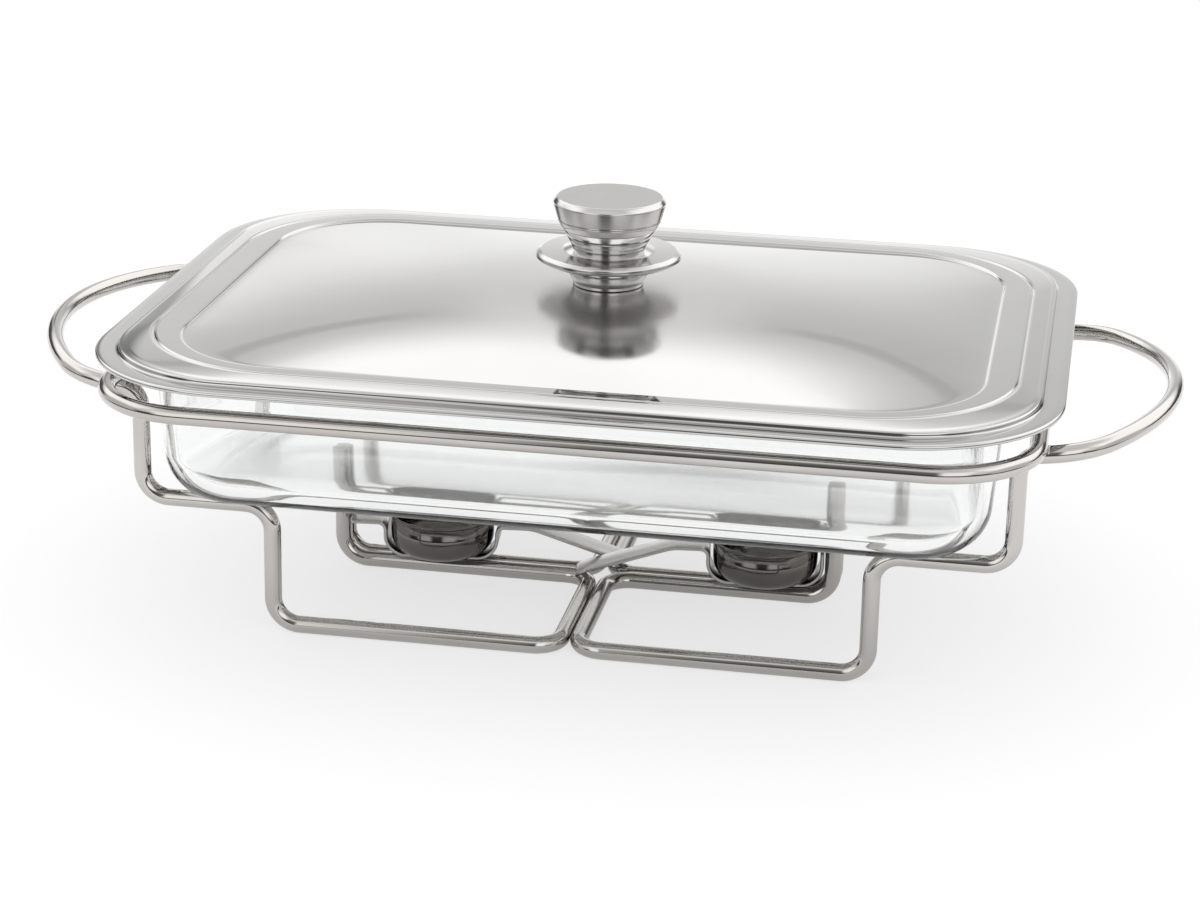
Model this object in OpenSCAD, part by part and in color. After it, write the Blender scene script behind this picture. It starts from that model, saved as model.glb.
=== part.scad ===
// Chafing dish: a glass dish in a bent-wire stand, with a stepped lift-off lid
// and two burner cups cradled in flat straps.
// Origin on the table under the middle of the dish, +Z up, length along X,
// front towards -Y. All sizes in millimetres.

/* [Glass dish] */
// Length of the dish outside, under its flange
dish_l = 312; // [290:1:318]
// Width of the dish outside, under its flange
dish_w = 207; // [180:1:240]
// Height of the dish from its underside to the top of the flange
dish_h = 58.5; // [50:0.5:75]
// Radius of the dish's corners seen from above, under the flange
dish_corner_r = 33.5; // [28:0.5:45]
// How far the wall leans inwards below the flange
dish_lean = 4; // [1:0.5:7]
// Radius round the bottom edge, outside
dish_fillet = 17; // [10:0.5:20]
// Thickness of the glass wall
dish_wall = 4.5; // [3:0.1:6]
// Thickness of the glass floor
dish_floor = 5.5; // [3.5:0.1:8]
// How far the flange stands out at the ends of the dish
flange_end = 9.6; // [5:0.1:14]
// How far the flange stands out along the sides of the dish
flange_side = 17.1; // [8:0.1:20]
// How much wider the flange's corners are than the dish's
flange_corner = 15.1; // [8:0.1:18]
// Thickness of the flange
flange_t = 4; // [3:0.1:6]

/* [Lid] */
// Thickness of the lid's sheet
lid_wall = 1; // [0.6:0.1:1.5]
// Play between the lid's first step and the flange
lid_play = 0.8; // [0.4:0.1:1.5]
// Width of the flat rim round the lid
rim_band = 7.5; // [4:0.5:12]
// Depth of the lip that turns down at the rim
rim_lip = 1.8; // [1.2:0.1:4]
// Height of the first step, from the rim to the middle band
step1_h = 1.9; // [1:0.1:4]
// Run of the first step
step1_run = 1.6; // [1:0.1:4]
// Width of the middle band at the ends
band2_end = 7.7; // [5:0.1:12]
// Width of the middle band along the sides
band2_side = 8.4; // [4:0.1:11]
// Corner radius at the foot of the second step
step2_r = 57; // [46:1:62]
// Height of the second step
step2_h = 0.9; // [0.9:0.1:3]
// Run of the second step
step2_run = 1.2; // [0.8:0.1:3]
// Width of the inner band at the ends
band3_end = 10.4; // [5:0.1:14]
// Width of the inner band along the sides
band3_side = 6.5; // [4:0.1:9]
// Corner radius of the groove round the dome
groove_r = 45; // [34:1:52]
// Width of the groove round the dome
groove_w = 1.6; // [1:0.1:3]
// Depth of the groove
groove_d = 0.8; // [0.4:0.1:0.8]
// Rise of the dome above the inner band, in the middle
dome_rise = 9; // [6:0.1:14]

/* [Knob] */
// Diameter of the neck's foot on the lid
neck_d = 27; // [20:0.5:30]
// Diameter of the neck under the guard disc, wider than its foot
neck_top_d = 36; // [30:0.5:44]
// Height of the neck
neck_h = 9.4; // [5:0.1:14]
// Diameter of the guard disc
disc_d = 55.4; // [45:0.2:65]
// Thickness of the guard disc
disc_t = 3.6; // [2.5:0.1:6]
// Rise of the guard disc's top from its edge to the grip cone
disc_crown = 1.8; // [0.5:0.1:4]
// Diameter of the grip cone where it stands on the disc
cone_d = 28; // [24:0.5:34]
// Diameter of the grip cone at its top
cone_top_d = 35.6; // [33:0.2:40]
// Height of the grip cone
cone_h = 7.4; // [6:0.1:14]
// Widest diameter of the collar, which goes on with the cone's flare up to the cap
collar_d = 39.6; // [37:0.2:42]
// Height of the collar
collar_h = 3.8; // [2.5:0.1:5]
// Width and depth of the fine groove between collar and cap
cap_groove = 0.7; // [0.4:0.1:1]
// Diameter of the cap at its lower edge
cap_d = 39.8; // [37:0.2:42]
// Widest diameter of the cap
cap_top_d = 43.2; // [40:0.2:48]
// Height of the cap
cap_h = 8; // [6:0.1:12]
// Diameter of the knob screw's shank
screw_d = 5; // [4:0.5:6]

/* [Wire stand] */
// Diameter of the stand's wire
wire_d = 6.5; // [5:0.1:7]
// Height of the dish's underside above the table
dish_z = 53.5; // [48:0.5:70]
// Gap between the legs and the ends of the dish
leg_gap = 2.5; // [1.5:0.25:6]
// Distance of the legs from the middle of the depth
leg_y = 76; // [66:0.5:80]
// Distance of the steps from the middle of the length
step_x = 112; // [108:0.5:125]
// Distance of the left posts from the middle of the length
left_post_x = 104; // [100:0.5:106]
// Gap between the ring and the flange above it
ring_drop = 5.25; // [4:0.25:9]
// Gap between the ring and the sides of the dish
ring_side = 18; // [12:0.25:24]
// Corner radius of the ring's centre line
ring_r = 37; // [25:1:45]
// Reach of the handles beyond the legs
handle_reach = 54; // [46:0.5:64]
// Least straight length between a handle's root bend and its corner bend
handle_lead = 2.5; // [1:0.25:6]
// Slope of the handles, rising outwards
handle_tilt = 7; // [0:0.5:10]
// Bend radius of the legs, steps and floor loops
bend_r = 10; // [8:0.5:12]

/* [Burner cups and straps] */
// Distance of the cups from the middle of the length
cup_x = 64.5; // [60:0.5:68]
// Bore of a burner cup
cup_bore = 39.6; // [39:0.2:42]
// Thickness of the cup's sheet
cup_wall = 0.6; // [0.5:0.1:1.2]
// Height of a burner cup
cup_h = 16.5; // [14:0.5:19]
// Radius round the cup's bottom, outside
cup_fillet = 8; // [4:0.5:9]
// Diameter of the bead round the cup's rim
cup_bead = 1.2; // [1:0.1:2.4]
// Width of the straps
strap_w = 12.5; // [9:0.5:13]
// Thickness of the straps
strap_t = 1.4; // [1:0.1:2]
// Height of the straps' shoulders above the table
strap_z = 20.5; // [19:0.25:22]
// Level run of a strap's inner shoulder, before it slopes to the tip
shoulder_run = 14; // [8:0.5:18]
// How far a strap's tip passes the middle of the length
tip_x = 9; // [7:0.5:11]
// Distance of a strap's tip from the middle of the depth
tip_y = 8; // [7.5:0.25:10]

/* [Hidden] */
$fn = 64;

// Fits: touching pieces of the stand, and pieces that lift off
weld_gap = 0.1;
seat_gap = 0.2;
screw_play = 0.25;

// Outline of the dish's flange, [half length, half width, corner radius]
flange_rect = [dish_l / 2 + flange_end, dish_w / 2 + flange_side, dish_corner_r + flange_corner];

// Levels of the dish and the lid
flange_z = dish_z + dish_h - flange_t;
band2_z = dish_z + dish_h + lid_wall;
rim_z = band2_z - step1_h;
band3_z = band2_z + step2_h;
dome_z = band3_z + dome_rise;

// Half sizes and corner radii of the lid's outlines, [half length, half width, radius]
step1_grow = lid_play + lid_wall + step1_run;
step1_rect = flange_rect + step1_grow * [1, 1, 1];
rim_rect = step1_rect + rim_band * [1, 1, 1];
step1_top = step1_rect - step1_run * [1, 1, 1];
step2_rect = [step1_top[0] - band2_end, step1_top[1] - band2_side, step2_r];
step2_top = step2_rect - step2_run * [1, 1, 1];
groove_rect = [step2_top[0] - band3_end, step2_top[1] - band3_side, groove_r];
dome_rect = groove_rect - groove_w * [1, 1, 1];
// The dome springs from the bottom of the groove and is arched along and across
dome_foot = band3_z - groove_d;
dome_sag = dome_z - dome_foot;
shoulder_lift = 0.3;

// Levels of the knob
neck_z = dome_z;
disc_z = neck_z + neck_h;
crown_z = disc_z + disc_t;
cone_z = crown_z + disc_crown;
collar_z = cone_z + cone_h;
cap_z = collar_z + collar_h;
washer_t = 1.2;
washer_z = dome_z - lid_wall - weld_gap - washer_t;
washer_d = 3 * screw_d;
head_h = 0.6 * screw_d;
head_d = 1.9 * screw_d;
screw_in_cap = 3;

// Places of the stand's wires
mid_z = hundredth(dish_z - seat_gap - wire_d / 2);
floor_z = wire_d / 2;
leg_x = hundredth(dish_l / 2 + leg_gap + wire_d / 2);
joint_x = hundredth((leg_x + step_x) / 2);
pair_gap = hundredth(wire_d / 2 + weld_gap);
ring_z = hundredth(flange_z - ring_drop - wire_d / 2);
ring_x = leg_x + wire_d;
ring_y = hundredth(dish_w / 2 + ring_side + wire_d / 2);
root_r = 8;
root_turn = 90 - handle_tilt;
root_cut = root_r * tan(root_turn / 2);
leg_top = hundredth(ring_z - wire_d - weld_gap - root_r);
// The handles' sides close in at the slope of a 3-4-5 triangle, up to a wide outer bow
handle_dir = [0.6, 0.8, 0];
// The corner bends take what the reach leaves beside the root bend, the lead and the bow's own depth
corner_room = handle_reach - leg_y * 0.75 + (leg_y / 0.6 - 1) * 0.25 - root_cut - handle_lead;
handle_r = floor(corner_room * 1.5);
bow_r = floor((leg_y / 0.8 - handle_r * 0.5) / 0.75 - 1);
corner_u = handle_reach - leg_y * 0.75 + bow_r * 0.25;
post_top = hundredth(dish_z - 2 * seat_gap);

// Places of the straps and cups
strap_yaw = atan2(tip_y, cup_x + tip_x);
strap_under_z = wire_d + weld_gap + strap_t / 2;
cup_z = strap_under_z + strap_t / 2 + seat_gap;
bead_inset = 0.05;
cup_rim_r = cup_bore / 2 + bead_inset + cup_bead;
arm_u = cup_rim_r + 2 * seat_gap + strap_t / 2;
tip_u = norm([cup_x + tip_x, tip_y]);
arm_reach = (arm_u + strap_t / 2) * cos(strap_yaw) + strap_w / 2 * sin(strap_yaw);
right_post_x = hundredth(cup_x + arm_reach + wire_d / 2 + 3 * weld_gap);
strap_bend = 3;
slope_bend = 20;
tip_round = 4;

steel = [0.78, 0.77, 0.76];
dark_steel = [0.42, 0.41, 0.40];
glass = [0.80, 0.88, 0.86, 0.5];

function unit(v) = v / norm(v);
function hundredth(v) = round(v * 100) / 100;
function turn(u, v) = acos(u * v);
function arc(c, r, a0, a1, n = 8) =
    [for (i = [0:n]) c + r * [cos(a0 + (a1 - a0) * i / n), sin(a0 + (a1 - a0) * i / n)]];
// A riser that leaves one flat and meets the next without an edge
function riser(foot_r, run, z0, h, n = 6) =
    [for (i = [0:n]) [foot_r - run * i / n, z0 + h * (1 - cos(180 * i / n)) / 2]];
// Any direction square to d
function square_to(d) = unit(cross(abs(d.z) > 0.9 ? [1, 0, 0] : [0, 0, 1], d));

// Places children in a frame with the given origin and axes
module in_frame(p, x, y, z) {
    multmatrix([[x.x, y.x, z.x, p.x], [x.y, y.y, z.y, p.y], [x.z, y.z, z.z, p.z], [0, 0, 0, 1]])
        children();
}

// A straight stretch of wire from p along d
module straight(p, d, len) {
    across = square_to(d);
    in_frame(p, cross(across, d), across, d) cylinder(d = wire_d, h = len);
}

// A bend of wire from direction u to direction v round a corner point
module bend(corner, u, v, r) {
    axis = unit(cross(u, v));
    inward = cross(axis, u);
    half = tan(turn(u, v) / 2);
    reach = 2 * (r + wire_d);
    in_frame(corner - u * r * half + inward * r, -inward, u, axis) intersection() {
        rotate_extrude($fn = 128) translate([r, 0]) circle(d = wire_d);
        translate([0, 0, -wire_d]) linear_extrude(2 * wire_d)
            polygon(reach * [[0, 0], [1, 0], [1, half], [u * v, norm(cross(u, v))]]);
    }
}

// A wire bent along points, with one bend radius for each corner
module wire(points, radii) {
    last = len(points) - 1;
    dirs = [for (i = [0:last - 1]) unit(points[i + 1] - points[i])];
    cuts = [for (i = [0:last]) i == 0 || i == last ? 0 : radii[i - 1] * tan(turn(dirs[i - 1], dirs[i]) / 2)];
    for (i = [0:last - 1])
        straight(points[i] + dirs[i] * cuts[i], dirs[i],
            norm(points[i + 1] - points[i]) - cuts[i] - cuts[i + 1]);
    for (i = [1:last - 1])
        bend(points[i], dirs[i - 1], dirs[i], radii[i - 1]);
}

// Sweeps a profile, drawn from radius 0 outwards, round a rectangle of half sizes cx, cy
module sweep_round(cx, cy) {
    for (corner = [[1, 1, 0], [-1, 1, 90], [-1, -1, 180], [1, -1, 270]])
        translate([corner.x * cx, corner.y * cy, 0]) rotate([0, 0, corner.z])
            rotate_extrude(angle = 90) children();
    for (flip = [0, 1]) {
        mirror([0, flip, 0]) translate([-cx, cy, 0]) rotate([90, 0, 90])
            linear_extrude(2 * cx) children();
        mirror([flip, 0, 0]) translate([cx, cy, 0]) rotate([90, 0, 0])
            linear_extrude(2 * cy) children();
    }
}

// Sweeps a profile round the core of a rounded rectangle and fills the core
module rounded_block(rect, points, z0, z1) {
    cx = rect[0] - rect[2];
    cy = rect[1] - rect[2];
    sweep_round(cx, cy) polygon(points);
    translate([-cx, -cy, z0]) cube([2 * cx, 2 * cy, z1 - z0]);
}

// A plain prism with a rounded-rectangle outline
module rounded_prism(rect, z0, z1) {
    rounded_block(rect, [[0, z0], [rect[2], z0], [rect[2], z1], [0, z1]], z0, z1);
}

// The lid's form, sunk by t on every face: 0 gives the outside, lid_wall the inside
module lid_form(t) {
    low = t > 0 ? rim_z - rim_lip - 1 : rim_z - rim_lip;
    rim_r = rim_rect[2] - t;
    difference() {
        union() {
            rounded_block(rim_rect - t * [1, 1, 1],
                concat([[0, low], [rim_r, low], [rim_r, rim_z - t]],
                    riser(step1_rect[2] - t, step1_run, rim_z - t, step1_h), [[0, band2_z - t]]),
                low, band2_z - t);
            rounded_block(step2_rect - t * [1, 1, 1],
                concat([[0, rim_z - t], [step2_r - t, rim_z - t]],
                    riser(step2_r - t, step2_run, band2_z - t, step2_h), [[0, band3_z - t]]),
                rim_z - t, band3_z - t);
        }
        difference() {
            rounded_prism(groove_rect + t * [1, 1, 1], band3_z - groove_d - t, dome_z + 1);
            rounded_prism(dome_rect - t * [1, 1, 1], rim_z - 1, dome_z + 2);
        }
    }
    dome(t);
}

// Round bar along Y whose upper side is an arch over a given half span
module arch(half, t) {
    r = (half * half + dome_sag * dome_sag) / (2 * dome_sag);
    translate([0, 0, dome_z - t - r]) rotate([90, 0, 0])
        cylinder(r = r, h = 3 * dome_rect[0], center = true, $fn = 256);
}

// Pillow dome: two crossed arches, with rounded shoulders that keep its corners low
module dome(t) {
    rect = dome_rect - t * [1, 1, 1];
    low = rim_z - t;
    steps = 10;
    shoulder = [for (i = [steps:-1:0])
        [rect[2] * i / steps, dome_foot + shoulder_lift - t + dome_sag * (1 - pow(i / steps, 2))]];
    intersection() {
        rounded_block(rect, concat([[0, low], [rect[2], low]], shoulder), low, shoulder[steps].y);
        rotate([0, 0, 90]) arch(dome_rect[1], t);
        arch(dome_rect[0], t);
    }
}

module screw_hole(z0, z1) {
    translate([0, 0, z0 - 1]) cylinder(d = screw_d + 2 * screw_play, h = z1 - z0 + 2);
}

module lid_shell() {
    color(steel) difference() {
        lid_form(0);
        lid_form(lid_wall);
        screw_hole(dome_z - lid_wall, dome_z);
    }
}

module knob_washer() {
    color(steel) difference() {
        translate([0, 0, washer_z]) cylinder(d = washer_d, h = washer_t);
        screw_hole(washer_z, dome_z);
    }
}

module knob_screw() {
    slot_w = 0.2 * screw_d;
    color(steel) difference() {
        union() {
            translate([0, 0, washer_z - head_h]) cylinder(d1 = head_d * 0.8, d2 = head_d, h = head_h);
            translate([0, 0, washer_z - 0.01]) cylinder(d = screw_d, h = cap_z + screw_in_cap - washer_z);
        }
        for (a = [0, 90])
            rotate([0, 0, a]) translate([-head_d / 4, -slot_w / 2, washer_z - head_h - 1])
                cube([head_d / 2, slot_w, 1 + head_h / 2]);
    }
}

// Neck with a waist, standing on the top of the dome
module knob_neck() {
    foot_z = neck_z + neck_h / 8;
    color(steel) difference() {
        rotate_extrude() polygon([[0, neck_z], [neck_d / 2, neck_z], [neck_d / 2, foot_z],
            [neck_top_d / 2, disc_z], [0, disc_z]]);
        screw_hole(neck_z, disc_z);
    }
}

// Guard disc that keeps fingers off the hot lid, with a rounded edge
module knob_disc() {
    edge = disc_t / 2;
    color(steel) difference() {
        rotate_extrude() polygon(concat([[0, disc_z]],
            arc([disc_d / 2 - edge, disc_z + edge], edge, -90, 90),
            [[cone_d / 2, cone_z], [0, cone_z]]));
        screw_hole(disc_z, cone_z);
    }
}

module knob_cone() {
    color(steel) difference() {
        translate([0, 0, cone_z]) cylinder(d1 = cone_d, d2 = cone_top_d, h = cone_h);
        screw_hole(cone_z, collar_z);
    }
}

// Collar that starts a little wider than the cone, and ends in a fine groove under the cap
module knob_collar() {
    foot = cone_top_d / 2 + cap_groove / 2;
    top = collar_d / 2;
    color(steel) difference() {
        rotate_extrude() polygon([[0, collar_z], [foot, collar_z], [top, cap_z - cap_groove],
            [top - cap_groove, cap_z - cap_groove], [top - cap_groove, cap_z], [0, cap_z]]);
        screw_hole(collar_z, cap_z);
    }
}

// Cap that widens to its bevelled top
module knob_cap() {
    bevel = 1.6;
    top = cap_z + cap_h;
    color(steel) difference() {
        rotate_extrude() polygon(concat([[0, cap_z], [cap_d / 2, cap_z]],
            arc([cap_top_d / 2 - bevel, top - bevel], bevel, -10, 90), [[0, top]]));
        translate([0, 0, cap_z - 1])
            cylinder(d = screw_d + 2 * screw_play, h = 1 + screw_in_cap + screw_play);
    }
}

// Profile of the dish's body from its flat bottom up the leaning wall
function dish_side(wall_r, lean, fillet, z0, z1) =
    concat([[0, z0]], arc([wall_r - lean - fillet, z0 + fillet], fillet, -90, 0),
        [[wall_r, z1], [0, z1]]);

module glass_dish() {
    top = dish_z + dish_h;
    body = [dish_l / 2, dish_w / 2, dish_corner_r];
    edge = flange_t / 2;
    inside_r = dish_corner_r - dish_wall;
    color(glass) difference() {
        union() {
            rounded_block(body, dish_side(dish_corner_r, dish_lean, dish_fillet, dish_z, flange_z + edge),
                dish_z, flange_z + edge);
            rounded_block(flange_rect, concat([[0, flange_z]],
                arc([flange_rect[2] - edge, flange_z + edge], edge, -90, 90), [[0, top]]), flange_z, top);
        }
        rounded_block(body, dish_side(inside_r, dish_lean, dish_fillet - dish_wall, dish_z + dish_floor, top + 1),
            dish_z + dish_floor, top + 1);
    }
}

// Rail round the dish, lying on the roots of the handles
module ring_rail() {
    color(steel) translate([0, 0, ring_z])
        sweep_round(ring_x - ring_r, ring_y - ring_r) translate([ring_r, 0]) circle(d = wire_d);
}

// Handle loop, drawn flat and tilted about the line through the tops of two legs
module handle() {
    corner = [corner_u, -leg_y, 0];
    apex = corner + handle_dir * leg_y / handle_dir.y;
    front = [[root_cut, -leg_y, 0], corner];
    rear = [[corner_u, leg_y, 0], [root_cut, leg_y, 0]];
    color(steel) translate([leg_x, 0, leg_top + root_cut]) rotate([0, -handle_tilt, 0])
        wire(concat(front, [apex], rear), [handle_r, bow_r, handle_r]);
}

// Leg with the outer half of the run that carries the dish, bent out under the ring
module leg() {
    color(steel) {
        wire([[joint_x, -leg_y, mid_z], [leg_x, -leg_y, mid_z], [leg_x, -leg_y, leg_top]], [bend_r]);
        in_frame([leg_x + root_r, -leg_y, leg_top], [-1, 0, 0], [0, 0, 1], [0, 1, 0])
            rotate_extrude(angle = root_turn) translate([root_r, 0]) circle(d = wire_d);
    }
}

// Inner half of a carrying run, its step, the floor loop and the post behind it
module foot_loop(post_x) {
    color(steel) wire([[joint_x, -leg_y, mid_z], [step_x, -leg_y, mid_z], [step_x, -leg_y, floor_z],
        [pair_gap, -leg_y, floor_z], [pair_gap, -pair_gap, floor_z], [post_x, -pair_gap, floor_z],
        [post_x, -pair_gap, post_top]], [bend_r, bend_r, bend_r, bend_r, bend_r]);
}

module right_handle() { handle(); }
module left_handle() { mirror([1, 0, 0]) handle(); }
module right_front_leg() { leg(); }
module right_rear_leg() { mirror([0, 1, 0]) leg(); }
module left_front_leg() { mirror([1, 0, 0]) leg(); }
module left_rear_leg() { mirror([1, 0, 0]) mirror([0, 1, 0]) leg(); }
module right_front_foot() { foot_loop(right_post_x); }
module right_rear_foot() { mirror([0, 1, 0]) foot_loop(right_post_x); }
module left_front_foot() { mirror([1, 0, 0]) foot_loop(left_post_x); }
module left_rear_foot() { mirror([1, 0, 0]) mirror([0, 1, 0]) foot_loop(left_post_x); }

// One edge of a flat strip bent along points in a plane, off to the left of its middle line
function strip_edge(points, radii, off) =
    let (last = len(points) - 1,
         dirs = [for (i = [0:last - 1]) unit(points[i + 1] - points[i])],
         left = [for (d = dirs) [-d.y, d.x]])
    concat([points[0] + left[0] * off],
        [for (i = [1:last - 1]) each corner_arc(points[i], dirs[i - 1], dirs[i], radii[i - 1], off)],
        [points[last] + left[last - 1] * off]);

// The stretch of such an edge round one corner
function corner_arc(p, u, v, r, off, n = 8) =
    let (side = sign(u.x * v.y - u.y * v.x),
         left = [-u.y, u.x],
         centre = p - u * r * tan(turn(u, v) / 2) + left * side * r,
         from = atan2(-side * left.y, -side * left.x))
    arc(centre, r - side * off, from, from + side * turn(u, v), n);

// Strap from the post, down round the cup and up again, then level and sloping to its tip
module strap(post_x) {
    tip_z = wire_d + weld_gap + strap_t;
    room = post_x - wire_d / 2 - weld_gap - cup_x;
    end_u = room / cos(strap_yaw) - strap_w / 2 * tan(strap_yaw);
    outer = end_u > arm_u + 2 * strap_bend ? [[end_u, strap_z]] : [];
    points = concat([[-tip_u, tip_z], [-arm_u - shoulder_run, strap_z], [-arm_u, strap_z],
        [-arm_u, strap_under_z], [arm_u, strap_under_z], [arm_u, strap_z]], outer);
    bends = [slope_bend, strap_bend, cup_fillet, cup_fillet, strap_bend];
    radii = [for (i = [0:len(points) - 3]) bends[i]];
    upper = strip_edge(points, radii, strap_t / 2);
    lower = strip_edge(points, radii, -strap_t / 2);
    color(dark_steel) translate([cup_x, 0, 0]) rotate([0, 0, strap_yaw]) intersection() {
        rotate([90, 0, 0]) linear_extrude(strap_w + 2, center = true)
            polygon(concat(upper, [for (i = [len(lower) - 1:-1:0]) lower[i]]));
        linear_extrude(2 * strap_z) strap_outline(max(end_u, arm_u));
    }
}

// Outline of a strap seen from above, with its tip rounded
module strap_outline(end_u) {
    half = strap_w / 2;
    round_x = tip_round - tip_u - strap_t;
    translate([round_x, -half]) square([end_u + strap_t - round_x, strap_w]);
    translate([round_x - tip_round, tip_round - half]) square([2 * tip_round, strap_w - 2 * tip_round]);
    for (side = [-1, 1])
        translate([round_x, side * (half - tip_round)]) circle(tip_round);
}

module right_strap() { strap(right_post_x); }
module left_strap() { rotate([0, 0, 180]) strap(left_post_x); }

// Pressed cup with a rounded bottom and a bead round its rim
module cup() {
    outer = cup_bore / 2 + cup_wall;
    top = cup_z + cup_h;
    inner_fillet = cup_fillet - cup_wall;
    bead_z = top - cup_bead / 2;
    color(dark_steel) translate([cup_x, 0, 0]) {
        difference() {
            rotate_extrude() polygon(concat([[0, cup_z]],
                arc([outer - cup_fillet, cup_z + cup_fillet], cup_fillet, -90, 0),
                [[outer, bead_z], [0, bead_z]]));
            rotate_extrude() polygon(concat([[0, cup_z + cup_wall]],
                arc([cup_bore / 2 - inner_fillet, cup_z + cup_fillet], inner_fillet, -90, 0),
                [[cup_bore / 2, top + 1], [0, top + 1]]));
        }
        rotate_extrude() translate([cup_rim_r - cup_bead / 2, bead_z]) circle(d = cup_bead);
    }
}

module right_cup() { cup(); }
module left_cup() { rotate([0, 0, 180]) cup(); }

lid_shell();
knob_washer();
knob_screw();
knob_neck();
knob_disc();
knob_cone();
knob_collar();
knob_cap();
glass_dish();
ring_rail();
right_handle();
left_handle();
right_front_leg();
right_rear_leg();
left_front_leg();
left_rear_leg();
right_front_foot();
right_rear_foot();
left_front_foot();
left_rear_foot();
right_strap();
left_strap();
right_cup();
left_cup();
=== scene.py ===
"""Dresses the chafing dish: polished lid, turned knob, pressed glass, bent wire and two burner cradles."""
from __future__ import annotations

import logging
import math
from abc import ABC, abstractmethod
from dataclasses import dataclass
from enum import Enum
from typing import Callable, Iterable, Mapping, Sequence

import bmesh
import bpy
from bmesh.types import BMesh, BMVert
from bpy.types import Material, Node, NodeSocket, NodeTree, Object, World
from mathutils import Matrix, Vector


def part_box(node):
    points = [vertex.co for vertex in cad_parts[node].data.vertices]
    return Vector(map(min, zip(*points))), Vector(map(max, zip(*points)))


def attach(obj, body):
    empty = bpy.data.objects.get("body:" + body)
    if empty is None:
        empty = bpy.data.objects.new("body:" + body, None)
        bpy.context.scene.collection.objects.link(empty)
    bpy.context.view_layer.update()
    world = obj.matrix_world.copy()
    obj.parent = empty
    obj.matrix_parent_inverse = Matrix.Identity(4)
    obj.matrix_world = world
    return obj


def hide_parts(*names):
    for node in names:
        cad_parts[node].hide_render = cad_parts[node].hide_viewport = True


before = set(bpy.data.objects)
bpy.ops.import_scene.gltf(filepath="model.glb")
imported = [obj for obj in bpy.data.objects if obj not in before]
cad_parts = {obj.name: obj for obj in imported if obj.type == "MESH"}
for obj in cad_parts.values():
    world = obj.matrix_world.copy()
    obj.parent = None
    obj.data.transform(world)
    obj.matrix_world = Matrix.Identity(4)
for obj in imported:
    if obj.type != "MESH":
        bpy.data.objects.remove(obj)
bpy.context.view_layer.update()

MM = 0.001

Point2 = tuple[float, float]
Point3 = tuple[float, float, float]
Colour = tuple[float, float, float]
Bend = tuple[Vector, float]
Edge = tuple[str, float, float]
Settings = Mapping[str, object]
Fields = Mapping[str | int, object]

log = logging.getLogger("chafing_dish")


class Body(Enum):
    """The bodies that pieces ride on."""

    LID = "lid"
    DISH = "dish"
    STAND = "stand"
    RIGHT_BURNER = "right_burner"
    LEFT_BURNER = "left_burner"


class Slot(Enum):
    """The material slots of the record."""

    LID = "lid_steel"
    KNOB = "knob_steel"
    WIRE = "wire_chrome"
    BURNER = "dark_steel"
    GLASS = "clear_glass"


class Side(Enum):
    """A side of the stand, with the sign of its X."""

    RIGHT = 1
    LEFT = -1

    @property
    def label(self) -> str:
        """The side as names have it."""
        return self.name.lower()


def add_node(tree: NodeTree, kind: str, settings: Settings, inputs: Fields) -> Node:
    """Adds one node to a tree.

    Args:
        tree: The tree.
        kind: Type of the node.
        settings: Its properties, set before its sockets.
        inputs: Values or sockets to link, by name or number.

    Returns:
        The node.
    """
    made = tree.nodes.new(kind)
    for name, value in settings.items():
        setattr(made, name, value)
    for key, value in inputs.items():
        if isinstance(value, NodeSocket):
            tree.links.new(value, made.inputs[key])
        else:
            made.inputs[key].default_value = value
    return made


def math_method(operation: str, swapped: bool = False) -> Callable[..., Term]:
    """Makes a method that adds one Math node.

    Args:
        operation: What the node works out.
        swapped: Whether the operands change places.

    Returns:
        The method, which takes the other operands and gives the node's result.
    """
    def method(term: Term, *others: object) -> Term:
        """Adds the node."""
        operands = (*others, term) if swapped else (term, *others)
        return term.bench.node("ShaderNodeMath", {"operation": operation}, dict(enumerate(operands)))

    return method


class Term:
    """A shader value that can be used in Python expressions."""

    __add__ = __radd__ = math_method("ADD")
    __sub__ = math_method("SUBTRACT")
    __rsub__ = math_method("SUBTRACT", swapped=True)
    __mul__ = __rmul__ = math_method("MULTIPLY")
    __abs__ = math_method("ABSOLUTE")
    root = math_method("SQRT")
    sine = math_method("SINE")
    largest = math_method("MAXIMUM")

    def __init__(self, bench: Bench, socket: NodeSocket) -> None:
        """Wraps an output socket of one bench's tree."""
        self.bench = bench
        self.socket = socket

    def wave(self) -> Term:
        """Sine, moved into 0 to 1."""
        return self.sine() * 0.5 + 0.5

    def step(self, low: float, high: float) -> Term:
        """A soft step from 0 at low to 1 at high, which falls if high is below low."""
        return self.bench.node(
            "ShaderNodeMapRange",
            {"interpolation_type": "SMOOTHSTEP", "clamp": True},
            {"Value": self, "From Min": low, "From Max": high, "To Min": 0.0, "To Max": 1.0},
        )


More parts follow.
